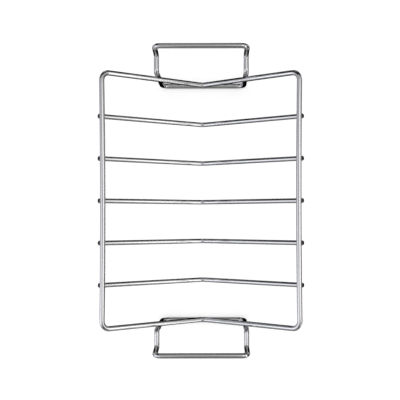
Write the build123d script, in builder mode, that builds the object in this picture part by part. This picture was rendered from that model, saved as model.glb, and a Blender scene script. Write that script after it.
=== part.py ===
from build123d import *

import os
from math import asin, atan, atan2, cos, degrees, hypot, sin, sqrt, tan

# Roasting rack: a V-shaped cradle of round steel wire that holds a joint of meat above a pan.
# Eight bent wires are resistance welded where they cross:
#   frame               a rounded rectangle, bent into a V at the middle of both end wires
#   rung_1 to rung_5    V-bent wires that pass under the long rails and carry the meat
#   rear_handle_foot    a closed stepped loop at +Y: foot bar, legs, step, uprights, handle bar
#   front_handle_foot   the same loop at -Y
#
# Millimetres. +X runs across the rack, +Y along the rails, +Z up.
# The origin is on the surface that the rack stands on, under the middle of the rack.

# Wire
frame_wire = 6.0
loop_wire = 6.0
rung_wire = 5.5

# Frame, measured between centre lines. The V bottom's height is above the standing surface.
frame_length = 286.0
rail_spacing = 220.0
vee_height = 40.5
vee_depth = 83.0
frame_corner_radius = 9.0
vee_bend_radius = 6.5

# The welds pull the rails a little inwards between their ends
rail_bow = 1.1
rail_end_run = 16.0

# Rungs
rung_count = 5
rung_pitch = 47.2
rung_overhang = 2.4
rung_end_round = 1.3
rung_bend_radius = 6.5

# End loops, measured between centre lines. The step's height is above the weld to the frame,
# and the handle bar's above the step. The uprights lean outwards and spread a little sideways.
loop_width = 103.6
step_rise = 11.4
step_length = 20.2
handle_rise = 25.0
handle_lean = 5.0
handle_spread = 0.6
foot_corner_radius = 9.0
handle_corner_radius = 6.5
step_bend_radius = 4.3

# Welds: the wires sink into each other, and the nugget fills the crevice beside the saddle
weld_set_down = 0.4
weld_nugget_radius = 2.3


# What follows from the sizes above

half_length = frame_length / 2
half_spacing = rail_spacing / 2
half_width = loop_width / 2
rail_height = vee_height + vee_depth
vee_angle = atan2(vee_depth, half_spacing)

# Each rail is a long flat arc with a short straight run at both ends.
# The run leaves the arc on its tangent and points at the corner of the frame.
bow_turn = 2 * atan(rail_bow / (half_length + rail_end_run))
arc_end_x = half_spacing - rail_end_run * sin(bow_turn)
arc_end_y = half_length - rail_end_run * cos(bow_turn)
bow_radius = arc_end_y / sin(bow_turn)
rail_middle_x = half_spacing - rail_bow

# The V bottoms of rungs and frame are level on top, so that the meat lies on all of them
rung_vee_height = vee_height + (frame_wire - rung_wire) / 2
rung_seat = (frame_wire + rung_wire) / 2 - weld_set_down
half_rung_span = half_spacing + frame_wire / 2 + rung_overhang

# The legs stand against the outside of the end wires
leg_y = half_length + (frame_wire + loop_wire) / 2 - weld_set_down
step_y = leg_y + step_length
handle_y = step_y + handle_lean
foot_height = loop_wire / 2
leg_weld_height = vee_height + half_width * tan(vee_angle)
step_height = leg_weld_height + step_rise
handle_height = step_height + handle_rise


def rail_x(y):
    """Distance from the middle plane to a rail's centre line, on the rail's arc."""
    return rail_middle_x + bow_radius - sqrt(bow_radius**2 - y**2)


def section_plane(path):
    """Plane square to a path at its start."""
    return Plane(origin=path @ 0, z_dir=path % 0)


def weld_plane(start, end):
    """Plane half way between two centre lines where they cross, square to the line joining them."""
    start = Vector(*start)
    end = Vector(*end)
    return Plane(origin=(start + end) / 2, z_dir=end - start)


# Frame

# One half is swept from the middle of one rail to the middle of the other, and mirrored
half_frame_points = [
    (arc_end_x, arc_end_y, rail_height),
    (half_spacing, half_length, rail_height),
    (0, half_length, vee_height),
    (-half_spacing, half_length, rail_height),
    (-arc_end_x, arc_end_y, rail_height),
]
with BuildPart() as frame:
    with BuildLine() as frame_path:
        TangentArc(
            (rail_middle_x, 0, rail_height),
            (arc_end_x, arc_end_y, rail_height),
            tangent=(0, 1, 0),
        )
        FilletPolyline(
            *half_frame_points,
            radius=[frame_corner_radius, vee_bend_radius, frame_corner_radius],
        )
        TangentArc(
            (-arc_end_x, arc_end_y, rail_height),
            (-rail_middle_x, 0, rail_height),
            tangent=(sin(bow_turn), -cos(bow_turn), 0),
        )
    with BuildSketch(section_plane(frame_path.line)):
        Circle(frame_wire / 2)
    sweep(path=frame_path.line)
    mirror(about=Plane.XZ)


# Rungs

def make_rung(y):
    """A V-bent wire under both rails, with rounded ends and a saddle where each rail sits in it."""
    across = rail_x(y)
    rise = rail_height - rung_vee_height
    # The slope that passes the rail's centre line at the seat's distance
    slope = atan2(rise, across) - asin(rung_seat / hypot(across, rise))
    # The square-cut end is rounded, and the lower side of its round reaches the span
    round_reach = (rung_wire / 2 - rung_end_round) * sin(slope) + rung_end_round
    end_x = half_rung_span - round_reach + rung_end_round * cos(slope)
    end_height = rung_vee_height + end_x * tan(slope)
    seat_x = across + rung_seat * sin(slope)
    seat_height = rail_height - rung_seat * cos(slope)

    with BuildPart() as rung:
        with BuildLine() as rung_path:
            FilletPolyline(
                (-end_x, y, end_height),
                (0, y, rung_vee_height),
                (end_x, y, end_height),
                radius=rung_bend_radius,
            )
        with BuildSketch(section_plane(rung_path.line)):
            Circle(rung_wire / 2)
        sweep(path=rung_path.line)
        end_faces = rung.faces().filter_by(GeomType.PLANE)
        fillet(end_faces.edges(), radius=rung_end_round)
        for side in (-1, 1):
            with Locations(weld_plane((side * seat_x, y, seat_height), (side * across, y, rail_height))):
                Cylinder(radius=weld_nugget_radius, height=rung_seat)
        add(frame.part, mode=Mode.SUBTRACT)
    return rung


rungs = []
for number in range(rung_count):
    rung_y = rung_pitch * ((rung_count - 1) / 2 - number)
    rungs.append(make_rung(rung_y))


# End loops

def make_handle_foot(end):
    """A closed stepped wire against the end of the frame, end being +1 at the rear and -1 at the front."""
    half_loop_points = [
        (0, end * leg_y, foot_height),
        (half_width, end * leg_y, foot_height),
        (half_width, end * leg_y, step_height),
        (half_width, end * step_y, step_height),
        (half_width + handle_spread, end * handle_y, handle_height),
        (0, end * handle_y, handle_height),
    ]
    with BuildPart() as loop:
        with BuildLine() as loop_path:
            FilletPolyline(
                *half_loop_points,
                radius=[foot_corner_radius, step_bend_radius, step_bend_radius, handle_corner_radius],
            )
        with BuildSketch(section_plane(loop_path.line)):
            Circle(loop_wire / 2)
        sweep(path=loop_path.line)
        end_wire_point = (half_width, end * half_length, leg_weld_height)
        leg_point = (half_width, end * leg_y, leg_weld_height)
        with Locations(weld_plane(end_wire_point, leg_point)):
            Cylinder(radius=weld_nugget_radius, height=leg_y - half_length)
        mirror(about=Plane.YZ)
        add(frame.part, mode=Mode.SUBTRACT)
    return loop


rear_handle_foot = make_handle_foot(1)
front_handle_foot = make_handle_foot(-1)


# Labels and files, one for each wire

os.makedirs("parts", exist_ok=True)

frame.part.label = "frame"
export_step(frame.part, "parts/frame.step")

for number, rung in enumerate(rungs, start=1):
    rung.part.label = f"rung_{number}"
    export_step(rung.part, f"parts/rung_{number}.step")

rear_handle_foot.part.label = "rear_handle_foot"
export_step(rear_handle_foot.part, "parts/rear_handle_foot.step")

front_handle_foot.part.label = "front_handle_foot"
export_step(front_handle_foot.part, "parts/front_handle_foot.step")

print("V angle of the frame, degrees:", round(degrees(vee_angle), 2))
print("weld on the leg, step and handle bar above the surface:",
      round(leg_weld_height, 2), round(step_height, 2), round(handle_height, 2))
print("leg plane, step and handle bar from the middle:", round(leg_y, 2), round(step_y, 2), round(handle_y, 2))
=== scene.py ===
# %% [markdown]
# # A roasting rack in bright chrome wire
#
# The rack is a V-shaped cradle that holds a joint of meat above a pan. It is made of round steel
# wire and of nothing else: one long frame, five rungs and two stepped end loops, welded where they
# cross and plated afterwards. So the whole lesson is about two things: a wire that follows its
# bends, and a mirror finish that shows the studio round it.
#
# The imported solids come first. They fix every size, and nothing here may be larger than they are.

from math import asin, atan, atan2, cos, degrees, hypot, pi, radians, sin, sqrt, tan

import bmesh
import bpy
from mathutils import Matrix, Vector


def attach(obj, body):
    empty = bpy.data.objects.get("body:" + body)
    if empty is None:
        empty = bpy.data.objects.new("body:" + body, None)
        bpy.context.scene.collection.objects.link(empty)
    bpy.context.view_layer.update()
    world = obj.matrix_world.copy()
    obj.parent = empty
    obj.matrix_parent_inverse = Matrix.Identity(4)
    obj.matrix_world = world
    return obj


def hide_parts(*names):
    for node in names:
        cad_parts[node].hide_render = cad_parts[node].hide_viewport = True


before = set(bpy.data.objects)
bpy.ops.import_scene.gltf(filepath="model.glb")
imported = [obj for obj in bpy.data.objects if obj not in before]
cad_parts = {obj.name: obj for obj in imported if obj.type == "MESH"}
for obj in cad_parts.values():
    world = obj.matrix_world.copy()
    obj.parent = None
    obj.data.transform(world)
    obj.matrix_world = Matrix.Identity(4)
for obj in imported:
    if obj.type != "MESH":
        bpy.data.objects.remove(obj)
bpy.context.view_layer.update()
mm = 0.001


# %% Add things to the scene
def add_object(name, data):
    """A new object that is in the scene."""
    added = bpy.data.objects.new(name, data)
    bpy.context.scene.collection.objects.link(added)
    return added


# %% [markdown]
# ## The camera
#
# The photograph was taken from straight above, and the rack is a little left of and behind the
# lens's axis. A camera that looks straight down keeps every upright wire pointing at one place in
# the picture. The lens stays level and its shift moves the picture, which is what a photographer's
# shift lens does, so no line is made to converge.

# %% Camera straight above the rack
picture_width = 400
lens_axis_pixel = (220.7, 219.1)
sensor_width = 36.0
focal_length = 67.14
lens_place = (22.1 * mm, -20.6 * mm, 952 * mm)
picture_turn = -0.0014

camera_data = bpy.data.cameras.new("camera")
camera_data.sensor_width = sensor_width
camera_data.lens = focal_length
camera_data.shift_x = (picture_width / 2 - lens_axis_pixel[0]) / picture_width
camera_data.shift_y = (lens_axis_pixel[1] - picture_width / 2) / picture_width
camera = add_object("camera", camera_data)
camera.location = lens_place
camera.rotation_euler = (0, 0, picture_turn)
bpy.context.scene.camera = camera
bpy.context.scene.view_settings.view_transform = "Standard"
print("camera shift", round(camera_data.shift_x, 4), round(camera_data.shift_y, 4))

# %% [markdown]
# ## Writing node trees as plain expressions
#
# Node trees can be clicked together by hand, but a written tree can be read, changed and rerun.
# Two small classes are enough for geometry and for materials alike. `Value` wraps the output of a
# node, and arithmetic on it adds Math nodes. `Tree` adds any other node from its type, its
# settings and what its sockets are fed with.

# %% A value in a node tree
class Value:
    """One output of a node. Arithmetic on it adds Math nodes to its tree."""

    def __init__(self, tree, socket):
        self.tree = tree
        self.socket = socket

    def __add__(self, other):
        return self.tree.math("ADD", self, other)

    def __radd__(self, other):
        return self.tree.math("ADD", other, self)

    def __sub__(self, other):
        return self.tree.math("SUBTRACT", self, other)

    def __rsub__(self, other):
        return self.tree.math("SUBTRACT", other, self)

    def __mul__(self, other):
        return self.tree.math("MULTIPLY", self, other)

    def __truediv__(self, other):
        return self.tree.math("DIVIDE", self, other)


# %% A tree that is written node by node
def find_socket(sockets, name):
    """The socket with this identifier, or with this name where no identifier fits."""
    for socket in sockets:
        if socket.identifier == name:
            return socket
    return sockets[name]


class Tree:
    """Adds nodes to one node tree and links them."""

    def __init__(self, node_tree):
        self.node_tree = node_tree
        self.group_input = None

    def feed(self, socket, value):
        """Links a Value, or each Value of a list, to a socket, or sets the socket's own value."""
        if isinstance(value, list):
            for part in value:
                self.node_tree.links.new(part.socket, socket)
        elif isinstance(value, Value):
            self.node_tree.links.new(value.socket, socket)
        else:
            socket.default_value = value

    def node(self, kind, settings=None, inputs=None, output=0):
        """A new node's output, after its settings and then its sockets are set."""
        made = self.node_tree.nodes.new(kind)
        for name, value in (settings or {}).items():
            setattr(made, name, value)
        for name, value in (inputs or {}).items():
            self.feed(find_socket(made.inputs, name), value)
        if isinstance(output, str):
            return Value(self, find_socket(made.outputs, output))
        return Value(self, made.outputs[output])

    def end(self, kind, name, value):
        """The tree's output node, fed through the named socket."""
        made = self.node_tree.nodes.new(kind)
        self.feed(made.inputs[name], value)

    def math(self, operation, *values):
        """A Math node on one or two values."""
        made = self.node_tree.nodes.new("ShaderNodeMath")
        made.operation = operation
        for socket, value in zip(made.inputs, values):
            self.feed(socket, value)
        return Value(self, made.outputs[0])

    def vector_math(self, operation, *values, output="Vector"):
        """A Vector Math node on one or two vectors."""
        made = self.node_tree.nodes.new("ShaderNodeVectorMath")
        made.operation = operation
        for socket, value in zip(made.inputs, values):
            self.feed(socket, value)
        return Value(self, made.outputs[output])

    def scaled(self, vector, factor):
        """The vector times the factor."""
        product = self.vector_math("SCALE", vector)
        self.feed(product.socket.node.inputs["Scale"], factor)
        return product

    def vector(self, x=0.0, y=0.0, z=0.0):
        """A vector made of three values."""
        return self.node("ShaderNodeCombineXYZ", inputs={"X": x, "Y": y, "Z": z}, output="Vector")

    def part(self, vector, axis):
        """The X, Y or Z of a vector."""
        return self.node("ShaderNodeSeparateXYZ", inputs={"Vector": vector}, output=axis)

    def noise(self, place, pattern):
        """Noise between 0 and 1 from a pattern's scale, detail and roughness of the detail."""
        scale, detail, roughness = pattern
        inputs = {"Vector": place, "Scale": scale, "Detail": detail, "Roughness": roughness}
        return self.node("ShaderNodeTexNoise", inputs=inputs, output="Fac")

    def fade(self, value, start, end):
        """A soft step: 0 up to start, 1 from end on."""
        settings = {"interpolation_type": "SMOOTHSTEP"}
        inputs = {"Value": value, "From Min": start, "From Max": end}
        return self.node("ShaderNodeMapRange", settings, inputs, "Result")

    def blend(self, amount, first, second):
        """The first colour, or as much of the second as the amount says."""
        inputs = {"Factor_Float": amount, "A_Color": first, "B_Color": second}
        return self.node("ShaderNodeMix", {"data_type": "RGBA"}, inputs, "Result_Color")

    def own_input(self, name):
        """A named input of a geometry tree."""
        if self.group_input is None:
            self.group_input = self.node_tree.nodes.new("NodeGroupInput")
        return Value(self, self.group_input.outputs[name])

    def attribute(self, name, data_type="FLOAT"):
        """A named attribute inside a geometry tree."""
        settings = {"data_type": data_type}
        return self.node("GeometryNodeInputNamedAttribute", settings, {"Name": name}, "Attribute")

    def store(self, geometry, name, value, data_type="FLOAT"):
        """The geometry with a value written on its points under a name."""
        settings = {"data_type": data_type, "domain": "POINT"}
        inputs = {"Geometry": geometry, "Name": name, "Value": value}
        return self.node("GeometryNodeStoreNamedAttribute", settings, inputs, "Geometry")

    def change(self, kind, geometry, **inputs):
        """The geometry after a node of this kind, whose other sockets are named in the call."""
        named = {name.replace("_", " ").title(): value for name, value in inputs.items()}
        return self.node(kind, inputs={"Geometry": geometry, **named}, output="Geometry")


print("the tree writer is ready")

# %% [markdown]
# ## The finish: nickel and chrome over drawn wire
#
# Bright wire goods are drawn, bent, welded and then plated. The plating is a mirror, but not a
# perfect one. The drawing die leaves faint lines along the wire, the wire is a little wavy between
# its bends, and the plating is duller and a little yellow where a weld heated the steel. The
# bending tool leaves a dull mark at the bottom of each V. The cut ends of the rungs are rougher,
# and their colour is painted almost black, a painted shade that makes them look as dark as they do.
#
# A picture could be wrapped round the wire, but a pattern worked out in nodes stays sharp at any
# distance. The patterns follow the wire, so they read what the wire's own tree will write on its
# points: `run`, the distance along the wire, and `turn`, the direction round it as a cosine and a
# sine. A pattern on those two has no seam. `weld_distance` says how far the nearest weld is, and
# `end_distance` how far the nearest cut end is.

# %% Patterns, marks and colours of the plating
# Each noise pattern is its scale, its detail and the roughness of the detail
line_pattern = (3.0, 4.0, 0.6)
wave_pattern = (55.0, 1.0, 0.5)
haze_pattern = (140.0, 3.0, 0.65)
pit_pattern = (1500.0, 2.0, 0.5)

# The lines' coordinates: this much for each metre along the wire, and for the direction round it
lines_along = 40
lines_round = 6

# Where each mark begins to fade and where it ends
heat_reach = (3.2 * mm, 8.0 * mm)
cut_reach = (0.1 * mm, 1.3 * mm)
scuff_reach_across = (1.0 * mm, 2.4 * mm)
scuff_reach_upwards = (8 * mm, 12 * mm)

# Height of the bending tool's mark above the table
scuff_height = 41 * mm

# The haze that makes the plating shaded, and the haze that lets a weld's heat show
shade_haze = (0.3, 0.8)
heat_haze = (0.35, 0.75)
heat_tint = 0.7

bright = (0.81, 0.803, 0.812, 1)
shaded = (0.78, 0.77, 0.78, 1)
heated = (0.68, 0.64, 0.56, 1)
# Painted shade: the colour that the rungs' cut ends are painted, almost black
cut_end_painted_shade = (0.05, 0.05, 0.055, 1)

even_roughness = 0.13
line_roughness = 0.04
weld_roughness = 0.06
cut_roughness = 0.3
scuff_roughness = 0.35

# Relief of the surface in millimetres
line_relief = 0.0001
wave_relief = 0.008
pit_relief = 0.00005
heat_relief = 0.02
print("drawing lines are", line_relief, "mm deep and waves", wave_relief, "mm")


# %% Materials that begin with an empty tree
def new_material(name):
    """A material with an empty node tree, and the writer of that tree."""
    material = bpy.data.materials.new(name)
    material.use_nodes = True
    material.node_tree.nodes.clear()
    return material, Tree(material.node_tree)


# %% The chrome material
def make_chrome(name):
    """Bright plating on drawn wire, with its lines, waviness, weld marks and painted shade on the cut
    ends.
    """
    material, tree = new_material(name)

    def written(attribute, output="Fac"):
        """What the wire's own tree wrote on its points under this name."""
        return tree.node("ShaderNodeAttribute", {"attribute_name": attribute}, output=output)

    run = written("run")
    turn = written("turn", "Vector")
    place = tree.node("ShaderNodeTexCoord", output="Object")

    # Coordinates that run with the wire: one along it and two round it
    cosine = tree.part(turn, "X")
    sine = tree.part(turn, "Y")
    wire_place = tree.vector(run * lines_along, cosine * lines_round, sine * lines_round)
    drawing_lines = tree.noise(wire_place, line_pattern)
    waves = tree.noise(place, wave_pattern)
    haze = tree.noise(place, haze_pattern)
    pits = tree.noise(place, pit_pattern)

    near_weld = 1 - tree.fade(written("weld_distance"), *heat_reach)
    heat = near_weld * tree.fade(haze, *heat_haze)
    # Near a cut end the wire is rougher, and its colour is painted almost black as painted shade
    cut = 1 - tree.fade(written("end_distance"), *cut_reach)

    # The bending tool's mark is at the bottom of each V, in the middle plane of the rack
    from_middle = tree.math("ABSOLUTE", tree.part(place, "X"))
    from_bottom = tree.math("ABSOLUTE", tree.part(place, "Z") - scuff_height)
    in_middle = 1 - tree.fade(from_middle, *scuff_reach_across)
    at_bottom = 1 - tree.fade(from_bottom, *scuff_reach_upwards)
    scuffed = in_middle * at_bottom

    plating = tree.blend(tree.fade(haze, *shade_haze), bright, shaded)
    plating = tree.blend(heat * heat_tint, plating, heated)
    # The cut ends take the painted shade
    colour = tree.blend(cut, plating, cut_end_painted_shade)

    roughness = even_roughness + drawing_lines * line_roughness + near_weld * weld_roughness
    roughness = roughness + cut * cut_roughness + scuffed * scuff_roughness
    relief = drawing_lines * line_relief + waves * wave_relief + pits * pit_relief + heat * heat_relief
    normal = tree.node(
        "ShaderNodeBump",
        inputs={"Strength": 1.0, "Distance": 1.0 * mm, "Height": relief},
        output="Normal",
    )
    shader = tree.node(
        "ShaderNodeBsdfPrincipled",
        inputs={"Base Color": colour, "Metallic": 1.0, "Roughness": roughness, "Normal": normal},
    )
    tree.end("ShaderNodeOutputMaterial", "Surface", shader)
    return material


chrome = make_chrome("bright_chrome")
print("chrome has", len(chrome.node_tree.nodes), "nodes")

# %% [markdown]
# ## A wire that follows its bends
#
# A bent wire is a drawing of straight runs, a bend radius at each corner and one diameter. It could
# be a curve object with a round bevel, but then every corner would share one radius. In Geometry
# Nodes the corners keep their own: the drawing is a mesh of points and edges, each point carries
# its bend radius, and Fillet Curve turns the corners into arcs before Curve to Mesh gives the wire
# its thickness.
#
# A cut end of a wire isn't sharp after plating. Near an end the tree makes the wire thinner, along
# the quarter circle of the end's round.

# %% Round sections and what they sweep
def round_section(tree, sides, radius):
    """A circle to be swept along a path."""
    inputs = {"Resolution": sides, "Radius": radius}
    return tree.node("GeometryNodeCurvePrimitiveCircle", {"mode": "RADIUS"}, inputs, "Curve")


def sweep(tree, path, section, scale):
    """The closed mesh that a section makes along a path, at its scale there."""
    inputs = {"Curve": path, "Profile Curve": section, "Scale": scale, "Fill Caps": True}
    return tree.node("GeometryNodeCurveToMesh", inputs=inputs, output="Mesh")


# %% The wire along its corners
arc_points = 14
wire_sides = 32


def lay_wire(tree, corners):
    """The wire along a mesh of corners, with its bends and the rounds of its cut ends."""
    path = tree.node("GeometryNodeMeshToCurve", inputs={"Mesh": corners}, output="Curve")
    bend_radius = tree.attribute("bend_radius")
    bent = tree.node(
        "GeometryNodeFilletCurve",
        {"mode": "POLY"},
        {"Curve": path, "Count": arc_points, "Radius": bend_radius, "Limit Radius": False},
        "Curve",
    )

    # The distance along the wire rises to its middle and falls again, so a closed wire has no seam
    run = tree.node("GeometryNodeSplineParameter", output="Length")
    length = tree.node("GeometryNodeSplineLength", output="Length")
    bent = tree.store(bent, "run", length / 2 - tree.math("ABSOLUTE", run - length / 2))

    # The round at a cut end, as a share of the wire's radius
    radius = tree.own_input("Wire Diameter") / 2
    end_round = tree.own_input("End Round")
    to_end = tree.math("MINIMUM", run, length - run)
    into_round = tree.math("MAXIMUM", end_round - to_end, 0.0)
    arc_square = tree.math("MAXIMUM", end_round * end_round - into_round * into_round, 0.0)
    share = (radius - end_round + tree.math("SQRT", arc_square)) / radius

    # Distance from a cut end, and a metre more on a wire that has none
    has_ends = tree.math("GREATER_THAN", end_round, 0.0)
    bent = tree.store(bent, "end_distance", to_end + (1 - has_ends))

    # The section's points carry the direction round the wire
    angle = tree.node("GeometryNodeSplineParameter", output="Factor") * (2 * pi)
    around = tree.vector(tree.math("COSINE", angle), tree.math("SINE", angle))
    section = round_section(tree, wire_sides, radius)
    section = tree.store(section, "turn", around, "FLOAT_VECTOR")
    return sweep(tree, bent, section, share)


print("a wire has", wire_sides, "sides and", arc_points, "points on each bend")

# %% [markdown]
# ## Weld beads
#
# A resistance weld squeezes a little molten steel out of the crossing. It sets as a short lumpy
# collar between the two wires. Each weld is a loose point of the same drawing, with the direction
# from one wire to the other, so one bead is modelled and set on every such point. Noise pushes the
# skin in and out by less than a quarter of a millimetre, so no two beads are alike.

# %% Beads on the weld points
bead_sides = 20
bead_rings = 9
bead_flare = 0.14
lump_pattern = (900.0, 1.0, 0.5)
lump_depth = 0.5 * mm
middle_of_noise = 0.5


def lay_beads(tree, weld_points):
    """One collar with a waist on each weld point, turned to the weld's axis."""
    bead_height = tree.own_input("Bead Height")
    ends = {"Start": tree.vector(z=bead_height * -0.5), "End": tree.vector(z=bead_height * 0.5)}
    line = tree.node("GeometryNodeCurvePrimitiveLine", {"mode": "POINTS"}, ends, "Curve")
    inputs = {"Curve": line, "Count": bead_rings}
    line = tree.node("GeometryNodeResampleCurve", {"mode": "COUNT"}, inputs, "Curve")
    from_waist = tree.node("GeometryNodeSplineParameter", output="Factor") * 2 - 1
    section = round_section(tree, bead_sides, tree.own_input("Bead Radius"))
    bead = sweep(tree, line, section, 1 + from_waist * from_waist * bead_flare)

    axis = {"Vector": tree.attribute("weld_axis", "FLOAT_VECTOR")}
    turned = tree.node("FunctionNodeAlignRotationToVector", {"axis": "Z"}, axis, "Rotation")
    inputs = {"Points": weld_points, "Instance": bead, "Rotation": turned}
    beads = tree.node("GeometryNodeInstanceOnPoints", inputs=inputs, output="Instances")
    beads = tree.change("GeometryNodeRealizeInstances", beads)

    # Molten steel sets unevenly, so the beads are a little lumpy
    position = tree.node("GeometryNodeInputPosition", output="Position")
    outward = tree.node("GeometryNodeInputNormal", output="Normal")
    push = (tree.noise(position, lump_pattern) - middle_of_noise) * lump_depth
    return tree.change("GeometryNodeSetPosition", beads, offset=tree.scaled(outward, push))


print("a bead has", bead_rings, "rings of", bead_sides, "points")

# %% The whole tree of a bent wire
tree_inputs = {
    "Drawing": "NodeSocketGeometry",
    "Wire Diameter": "NodeSocketFloat",
    "End Round": "NodeSocketFloat",
    "Bead Radius": "NodeSocketFloat",
    "Bead Height": "NodeSocketFloat",
    "Has Beads": "NodeSocketBool",
    "Finish": "NodeSocketMaterial",
}


def make_wire_tree():
    """Geometry nodes from a drawing of corners and weld points to a finished wire."""
    group = bpy.data.node_groups.new("bent_wire", "GeometryNodeTree")
    for name, kind in tree_inputs.items():
        group.interface.new_socket(name=name, in_out="INPUT", socket_type=kind)
    group.interface.new_socket(name="Wire", in_out="OUTPUT", socket_type="NodeSocketGeometry")
    tree = Tree(group)

    is_weld = tree.attribute("is_weld", "BOOLEAN")
    inputs = {"Geometry": tree.own_input("Drawing"), "Selection": is_weld}
    corners = tree.node("GeometryNodeSeparateGeometry", {"domain": "POINT"}, inputs, "Inverted")
    weld_points = Value(tree, corners.socket.node.outputs["Selection"])

    wire = lay_wire(tree, corners)
    inputs = {"Switch": tree.own_input("Has Beads"), "True": lay_beads(tree, weld_points)}
    beads = tree.node("GeometryNodeSwitch", {"input_type": "GEOMETRY"}, inputs, "Output")
    whole = tree.change("GeometryNodeJoinGeometry", [wire, beads])

    position = tree.node("GeometryNodeInputPosition", output="Position")
    inputs = {"Target": weld_points, "Source Position": position}
    to_weld = tree.node("GeometryNodeProximity", {"target_element": "POINTS"}, inputs, "Distance")
    whole = tree.store(whole, "weld_distance", to_weld)
    whole = tree.change("GeometryNodeSetShadeSmooth", whole, shade_smooth=True)
    whole = tree.change("GeometryNodeRealizeInstances", whole)
    whole = tree.change("GeometryNodeSetMaterial", whole, material=tree.own_input("Finish"))
    tree.end("NodeGroupOutput", "Wire", whole)
    return group


wire_tree = make_wire_tree()
print("the wire tree has", len(wire_tree.nodes), "nodes")

# %% [markdown]
# ## From a drawing to a piece
#
# A drawing is a mesh without faces: corners joined by edges, and loose points for the welds. The
# tree turns it into a wire, and the result is kept as a plain mesh, so that nothing later has to
# know about modifiers.
#
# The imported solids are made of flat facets, so their box is some micrometres smaller than true
# round wire. Each wire is therefore drawn a hundredth of a millimetre inside its solid.

# %% A mesh of corners and weld points
def make_drawing(name, corners, closed, welds):
    """A mesh of a wire's corners, each (place, bend radius), and its welds, each (place, axis)."""
    places = [place for place, bend_radius in corners] + [place for place, axis in welds]
    edges = [(number, number + 1) for number in range(len(corners) - 1)]
    if closed:
        edges.append((len(corners) - 1, 0))
    mesh = bpy.data.meshes.new(name)
    mesh.from_pydata([Vector(place) * mm for place in places], edges, [])

    # Adding an attribute moves the earlier ones in memory, so all are added before any is looked up
    kinds = {"bend_radius": "FLOAT", "is_weld": "BOOLEAN", "weld_axis": "FLOAT_VECTOR"}
    for attribute, kind in kinds.items():
        mesh.attributes.new(attribute, kind, "POINT")
    bends = mesh.attributes["bend_radius"].data
    marks = mesh.attributes["is_weld"].data
    axes = mesh.attributes["weld_axis"].data
    for number, (place, bend_radius) in enumerate(corners):
        bends[number].value = bend_radius * mm
    for number, (place, axis) in enumerate(welds, start=len(corners)):
        marks[number].value = True
        axes[number].vector = axis
    return mesh


# %% A finished piece
facet_gap = 0.01
bead_radius = 2.25
bead_height = 2.7


def make_piece(name, drawing, wire, end_round=0.0, has_beads=True):
    """The finished wire as a plain mesh. The drawing and its modifier are removed."""
    values = {
        "Wire Diameter": (wire - 2 * facet_gap) * mm,
        "End Round": end_round * mm,
        "Bead Radius": bead_radius * mm,
        "Bead Height": bead_height * mm,
        "Has Beads": has_beads,
        "Finish": chrome,
    }
    sketch = add_object(name + "_drawing", drawing)
    modifier = sketch.modifiers.new("bent_wire", "NODES")
    modifier.node_group = wire_tree
    for socket in wire_tree.interface.items_tree:
        if socket.in_out == "INPUT" and socket.name in values:
            modifier[socket.identifier] = values[socket.name]
    evaluated = sketch.evaluated_get(bpy.context.evaluated_depsgraph_get())
    mesh = bpy.data.meshes.new_from_object(evaluated)
    mesh.name = name
    bpy.data.objects.remove(sketch)
    bpy.data.meshes.remove(drawing)
    return add_object(name, mesh)


print("wires are drawn", facet_gap, "mm inside their solids")

# %% [markdown]
# ## The sizes of the rack
#
# These are the sizes that the solids were made with, in millimetres between centre lines. The rails
# of the frame are its two long top sides, and its end wires dip into the V.

# %% Sizes of wire, frame, rungs and loops
frame_wire = 6.0
loop_wire = 6.0
rung_wire = 5.5

half_length = 143.0
half_spacing = 110.0
vee_height = 40.5
rail_height = 123.5
frame_corner_radius = 9.0
vee_bend_radius = 6.5
rail_bow = 1.1
rail_end_run = 16.0

rung_count = 5
rung_pitch = 47.2
rung_overhang = 2.4
rung_end_round = 1.3
rung_bend_radius = 6.5

half_loop_width = 51.8
step_rise = 11.4
step_length = 20.2
handle_rise = 25.0
handle_lean = 5.0
handle_spread = 0.6
foot_corner_radius = 9.0
handle_corner_radius = 6.5
step_bend_radius = 4.3

weld_set_down = 0.4

vee_slope = atan2(rail_height - vee_height, half_spacing)
print("slope of the end wires", round(degrees(vee_slope), 1), "degrees")


# %% The rail's line between its ends
bow_turn = 2 * atan(rail_bow / (half_length + rail_end_run))
arc_end_y = half_length - rail_end_run * cos(bow_turn)
bow_radius = arc_end_y / sin(bow_turn)


def rail_x(y):
    """Distance of a rail's centre line from the middle of the rack."""
    return half_spacing - rail_bow + bow_radius - sqrt(bow_radius**2 - y**2)


print("the rails are pulled in to", round(rail_x(0), 2), "at the middle")

# %% [markdown]
# ## Rungs
#
# Each rung is a wire bent once, that passes under both rails. Its slope isn't free: its centre line
# has to pass each rail at the distance where the two wires touch, less the little that the weld
# sinks them. Solving for that slope seats the rung exactly, whatever the sizes are.

# %% Where each rung lies and where it is welded
rung_vee_height = vee_height + (frame_wire - rung_wire) / 2
rung_seat = (frame_wire + rung_wire) / 2 - weld_set_down


def rung_y(number):
    """Place of a rung along the rack, number 0 being the rear one."""
    return rung_pitch * ((rung_count - 1) / 2 - number)


def rung_slope(y):
    """Slope of a rung's side that passes the rail's centre line at the seat's distance."""
    rise = rail_height - rung_vee_height
    across = rail_x(y)
    return atan2(rise, across) - asin(rung_seat / hypot(across, rise))


def rung_welds(y):
    """Places and axes of the two welds of a rung, half way between its centre line and the rail's."""
    slope = rung_slope(y)
    across = rail_x(y) + rung_seat / 2 * sin(slope)
    height = rail_height - rung_seat / 2 * cos(slope)
    return [
        ((side * across, y, height), (side * sin(slope), 0, -cos(slope)))
        for side in (-1, 1)
    ]


print("the middle rung slopes", round(degrees(rung_slope(0)), 1), "degrees")

# %% Make the five rungs
end_round_steps = 8


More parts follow.
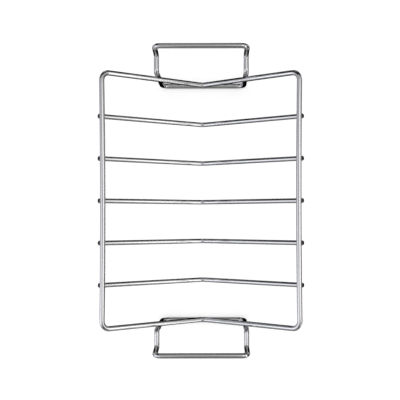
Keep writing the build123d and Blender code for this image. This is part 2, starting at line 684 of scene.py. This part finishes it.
def make_rung(number):
    """One V-bent rung with its two weld beads."""
    y = rung_y(number)
    slope = rung_slope(y)
    round_reach = (rung_wire / 2 - rung_end_round) * sin(slope) + rung_end_round
    end_x = half_spacing + frame_wire / 2 + rung_overhang - round_reach + rung_end_round * cos(slope)

    # Close steps near the end carry its round
    side_run = []
    for step in range(end_round_steps + 1):
        back = rung_end_round * (1 - cos(step / end_round_steps * pi / 2))
        x = end_x - back * cos(slope)
        side_run.append((x, rung_vee_height + x * tan(slope)))
    right = [((x, y, z), 0) for x, z in reversed(side_run)]
    left = [((-x, y, z), 0) for x, z in side_run]
    corners = left + [((0, y, rung_vee_height), rung_bend_radius)] + right
    drawing = make_drawing(f"rung_{number + 1}", corners, False, rung_welds(y))
    return make_piece(f"wire_rung_{number + 1}", drawing, rung_wire, rung_end_round)


rungs = [make_rung(number) for number in range(rung_count)]
print("rungs:", [len(rung.data.polygons) for rung in rungs], "faces each")

# %% [markdown]
# ## End loops
#
# Each end has one closed wire that is foot and handle at once: a bar on the table, two legs welded
# against the end wire, a step outwards, two short uprights and the handle bar. One half of the
# path is written down and mirrored, so both sides are alike.

# %% Make the two end loops
leg_y = half_length + (frame_wire + loop_wire) / 2 - weld_set_down
leg_weld_height = vee_height + half_loop_width * tan(vee_slope)
step_height = leg_weld_height + step_rise
handle_height = step_height + handle_rise
step_y = leg_y + step_length
handle_y = step_y + handle_lean


def loop_welds(end):
    """The two welds between an end wire and the legs of its loop."""
    return [
        ((side * half_loop_width, end * (half_length + leg_y) / 2, leg_weld_height), (0, end, 0))
        for side in (-1, 1)
    ]


def make_loop(name, end):
    """The closed stepped wire at one end, end being 1 at the rear and -1 at the front."""
    half_path = [
        ((half_loop_width, end * leg_y, loop_wire / 2), foot_corner_radius),
        ((half_loop_width, end * leg_y, step_height), step_bend_radius),
        ((half_loop_width, end * step_y, step_height), step_bend_radius),
        ((half_loop_width + handle_spread, end * handle_y, handle_height), handle_corner_radius),
    ]
    other_half = [((-x, y, z), bend) for (x, y, z), bend in reversed(half_path)]
    drawing = make_drawing(name, half_path + other_half, True, loop_welds(end))
    return make_piece(name, drawing, loop_wire)


rear_loop = make_loop("wire_rear_loop", 1)
front_loop = make_loop("wire_front_loop", -1)
print("loops:", len(rear_loop.data.polygons), "faces each")

# %% [markdown]
# ## Frame
#
# The frame is one closed wire too. Its rails bow inwards by a millimetre, pulled by the welds, and
# its end wires run down to the bottom of the V and up again. All fourteen welds touch it, and the
# beads belong to the rungs and loops, so the frame only needs to know where they are.

# %% Make the frame
rail_arc_steps = 24


def make_frame():
    """The long closed wire that carries everything else."""
    rail = []
    for step in range(rail_arc_steps + 1):
        y = arc_end_y * (2 * step / rail_arc_steps - 1)
        rail.append(((rail_x(y), y, rail_height), 0))
    rear_end = [
        ((half_spacing, half_length, rail_height), frame_corner_radius),
        ((0, half_length, vee_height), vee_bend_radius),
        ((-half_spacing, half_length, rail_height), frame_corner_radius),
    ]
    half_path = rail + rear_end
    other_half = [((-x, -y, z), bend) for (x, y, z), bend in half_path]
    welds = loop_welds(1) + loop_welds(-1)
    for number in range(rung_count):
        welds += rung_welds(rung_y(number))
    drawing = make_drawing("frame", half_path + other_half, True, welds)
    return make_piece("wire_frame", drawing, frame_wire, has_beads=False)


frame_piece = make_frame()
print("frame:", len(frame_piece.data.polygons), "faces")

# %% [markdown]
# ## Handing the pieces to the imported rack
#
# Each piece stands for one solid, rides on the one body of the rack and wears the chrome finish
# made above.

# %% Replace the plain solids
stand_ins = {"frame": frame_piece, "rear_handle_foot": rear_loop, "front_handle_foot": front_loop}
for number, rung in enumerate(rungs, start=1):
    stand_ins[f"rung_{number}"] = rung
for node, piece in stand_ins.items():
    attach(piece, "root")
    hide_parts(node)
print("pieces in place:", sorted(stand_ins))

# %% [markdown]
# ## Table, background and light
#
# The picture's background is white. A stronger lamp would bleach the rack too, so the white comes
# from the colours instead: the table is a pale floor that keeps the rack's soft shadow, and both
# the floor and the world show white to the camera and to what mirrors or transmits it.
#
# The floor is hidden from mirrored rays all the same. The photographed plating mirrors a darker
# room than the white behind it: the outer edges of the rungs, which would mirror a white table,
# are nearly black. The room comes after the table.

# %% White for the camera and for mirrors
def seen_directly(tree):
    """1 for rays from the camera and for mirrored and transmitted ones, else 0."""
    light_path = tree.node("ShaderNodeLightPath").socket.node
    from_camera = Value(tree, light_path.outputs["Is Camera Ray"])
    mirrored = Value(tree, light_path.outputs["Is Glossy Ray"])
    transmitted = Value(tree, light_path.outputs["Is Transmission Ray"])
    return tree.math("MINIMUM", from_camera + mirrored + transmitted, 1.0)


def grey(level):
    """A colour without a tint."""
    return (level, level, level, 1)


# %% Floor
floor_half = 4.0
floor_level = 0.9
floor_roughness = 0.9
floor_lift = 0.38
floor_corners = [(-1, -1), (1, -1), (1, 1), (-1, 1)]
floor_mesh = bpy.data.meshes.new("floor")
floor_mesh.from_pydata([(x * floor_half, y * floor_half, 0) for x, y in floor_corners], [], [(0, 1, 2, 3)])
floor = add_object("floor", floor_mesh)

floor_material, tree = new_material("pale_table")
shader = tree.node(
    "ShaderNodeBsdfPrincipled",
    inputs={
        "Base Color": grey(floor_level),
        "Roughness": floor_roughness,
        "Specular IOR Level": 0.0,
        "Emission Color": tree.blend(seen_directly(tree), grey(0), grey(floor_lift)),
        "Emission Strength": 1.0,
    },
)
tree.end("ShaderNodeOutputMaterial", "Surface", shader)
floor_mesh.materials.append(floor_material)
floor.visible_glossy = False
print("the floor reaches", floor_half, "m to each side")

# %% World
world_level = 0.6
world = bpy.data.worlds.new("studio")
bpy.context.scene.world = world
world.use_nodes = True
world.node_tree.nodes.clear()
tree = Tree(world.node_tree)
colour = tree.blend(seen_directly(tree), grey(world_level), grey(1))
tree.end("ShaderNodeOutputWorld", "Surface", tree.node("ShaderNodeBackground", inputs={"Color": colour}))
print("floor and world are white to the camera")

# %% [markdown]
# ## The room that the chrome mirrors
#
# Chrome has almost no colour of its own, so half of this picture is the room. In the photograph
# the rails are light with thin dark edges, and the front and back sides of the rungs are dark:
# there are large lights high to the left and to the right, dimmer walls at the front and the back,
# a dark floor, and the dark shape of the camera overhead. A round wire squeezes all of that into
# stripes a millimetre wide.
#
# Lamps could make the bright stripes but not the dark ones. So the room is a dome that only
# mirrored rays see, and that lights nothing. Its material adds soft round patches to one even
# level, each with a direction, a size and a brightness, as a photographer places softboxes and
# black cards: a brightness above zero is a light, and one below zero a card. It reads the dome's
# own object coordinates, so nothing slides when the camera moves.
#
# The patches weren't placed by eye. A fitting program moved them until their stripes looked like
# the photographed ones, and the values were then rounded and a few of them changed by hand.

# %% Lights and cards on a dome
dome_radius = 1.5
dome_level = 0.445
# Azimuth from the right towards the rear, elevation, radius of the even middle, soft rim, brightness
dome_patches = [
    (-8, 28, 9, 12.5, 1.32),  # light on the right
    (7, 71, 8.5, 13, 1.03),  # light high on the right
    (191, 38, 3.5, 17.5, 1.57),  # light on the left
    (214, 45, 27, 5, 0.49),  # wide dim light at the front left
    (-7, 0, 22, 4, -2.05),  # black card on the right, level with the rack
    (85, 3, 40, 6.5, -0.43),  # wide card at the rear
    (90, -52, 12.5, 20.5, -0.72),  # card below the rear
    (266, 23, 11, 47, -0.35),  # very soft card at the front
    (124, 23, 21, 5.5, -0.65),  # card at the rear left
    (270, -38, 23, 6.5, -0.43),  # card below the front
    (-28, -13, 8, 6, -0.52),  # small card low at the right
    (193, 42, 9, 10.5, -1.37),  # card before the light on the left
    (98, 3, 10.5, 12, 0.37),  # lighter middle of the rear card
    (268, -7, 13.5, 19, 0.27),  # dim light low at the front
    (0, -90, 32, 22, -0.45),  # dark floor
    (0, 82, 1.5, 8.5, -0.97),  # the camera
    (186, 76, 3, 6.5, -0.39),  # small card beside the camera
    (-36, 10, 8.5, 7, 1.15),  # small light at the front right
    (203, 8, 8.5, 7, 1.05),  # small light at the front left
]
# The window side, at the left, is a little cooler than the lamps
neutral = (1.0, 1.0, 1.0, 1)
cool = (0.955, 0.985, 1.04, 1)
cool_side = (0.0, -0.7)
print("the room has", len(dome_patches), "patches")


# %% The dome's material
def make_room_material():
    """A glow that is even but for the patches."""
    material, tree = new_material("studio_room")
    place = tree.node("ShaderNodeTexCoord", output="Object")
    direction = tree.vector_math("NORMALIZE", place)
    level = dome_level
    for azimuth, elevation, middle, rim, brightness in dome_patches:
        azimuth = radians(azimuth)
        elevation = radians(elevation)
        towards = (cos(elevation) * cos(azimuth), cos(elevation) * sin(azimuth), sin(elevation))
        nearness = tree.vector_math("DOT_PRODUCT", direction, towards, output="Value")
        patch = tree.fade(nearness, cos(radians(middle + rim)), cos(radians(middle)))
        level = level + patch * brightness
    level = tree.math("MAXIMUM", level, 0.0)
    tint = tree.blend(tree.fade(tree.part(direction, "X"), *cool_side), neutral, cool)
    glow = tree.node("ShaderNodeEmission", inputs={"Color": tree.scaled(tint, level)})
    tree.end("ShaderNodeOutputMaterial", "Surface", glow)
    return material


# %% The dome
dome_columns = 48
dome_rows = 24


def make_dome():
    """A sphere round the rack, seen from inside and by mirrored rays alone."""
    room_mesh = bpy.data.meshes.new("studio_room")
    form = bmesh.new()
    bmesh.ops.create_uvsphere(form, u_segments=dome_columns, v_segments=dome_rows, radius=dome_radius)
    bmesh.ops.reverse_faces(form, faces=form.faces)
    form.to_mesh(room_mesh)
    form.free()
    room_mesh.materials.append(make_room_material())
    room = add_object("studio_room", room_mesh)
    room.visible_camera = False
    room.visible_diffuse = False
    room.visible_shadow = False
    room.visible_transmission = False
    return room


room = make_dome()
print("the dome has", len(room.data.polygons), "faces")

# %% One wide soft lamp overhead for the table and the shadow
lamp_side = 1.6
lamp_watts = 6.0
lamp_place = (0, -0.1, 1.4)

lamp_data = bpy.data.lights.new("overhead_softbox", "AREA")
lamp_data.shape = "SQUARE"
lamp_data.size = lamp_side
lamp_data.energy = lamp_watts
lamp = add_object("overhead_softbox", lamp_data)
lamp.location = lamp_place
lamp.visible_glossy = False
lamp.visible_camera = False
print("one lamp of", lamp_watts, "watts")
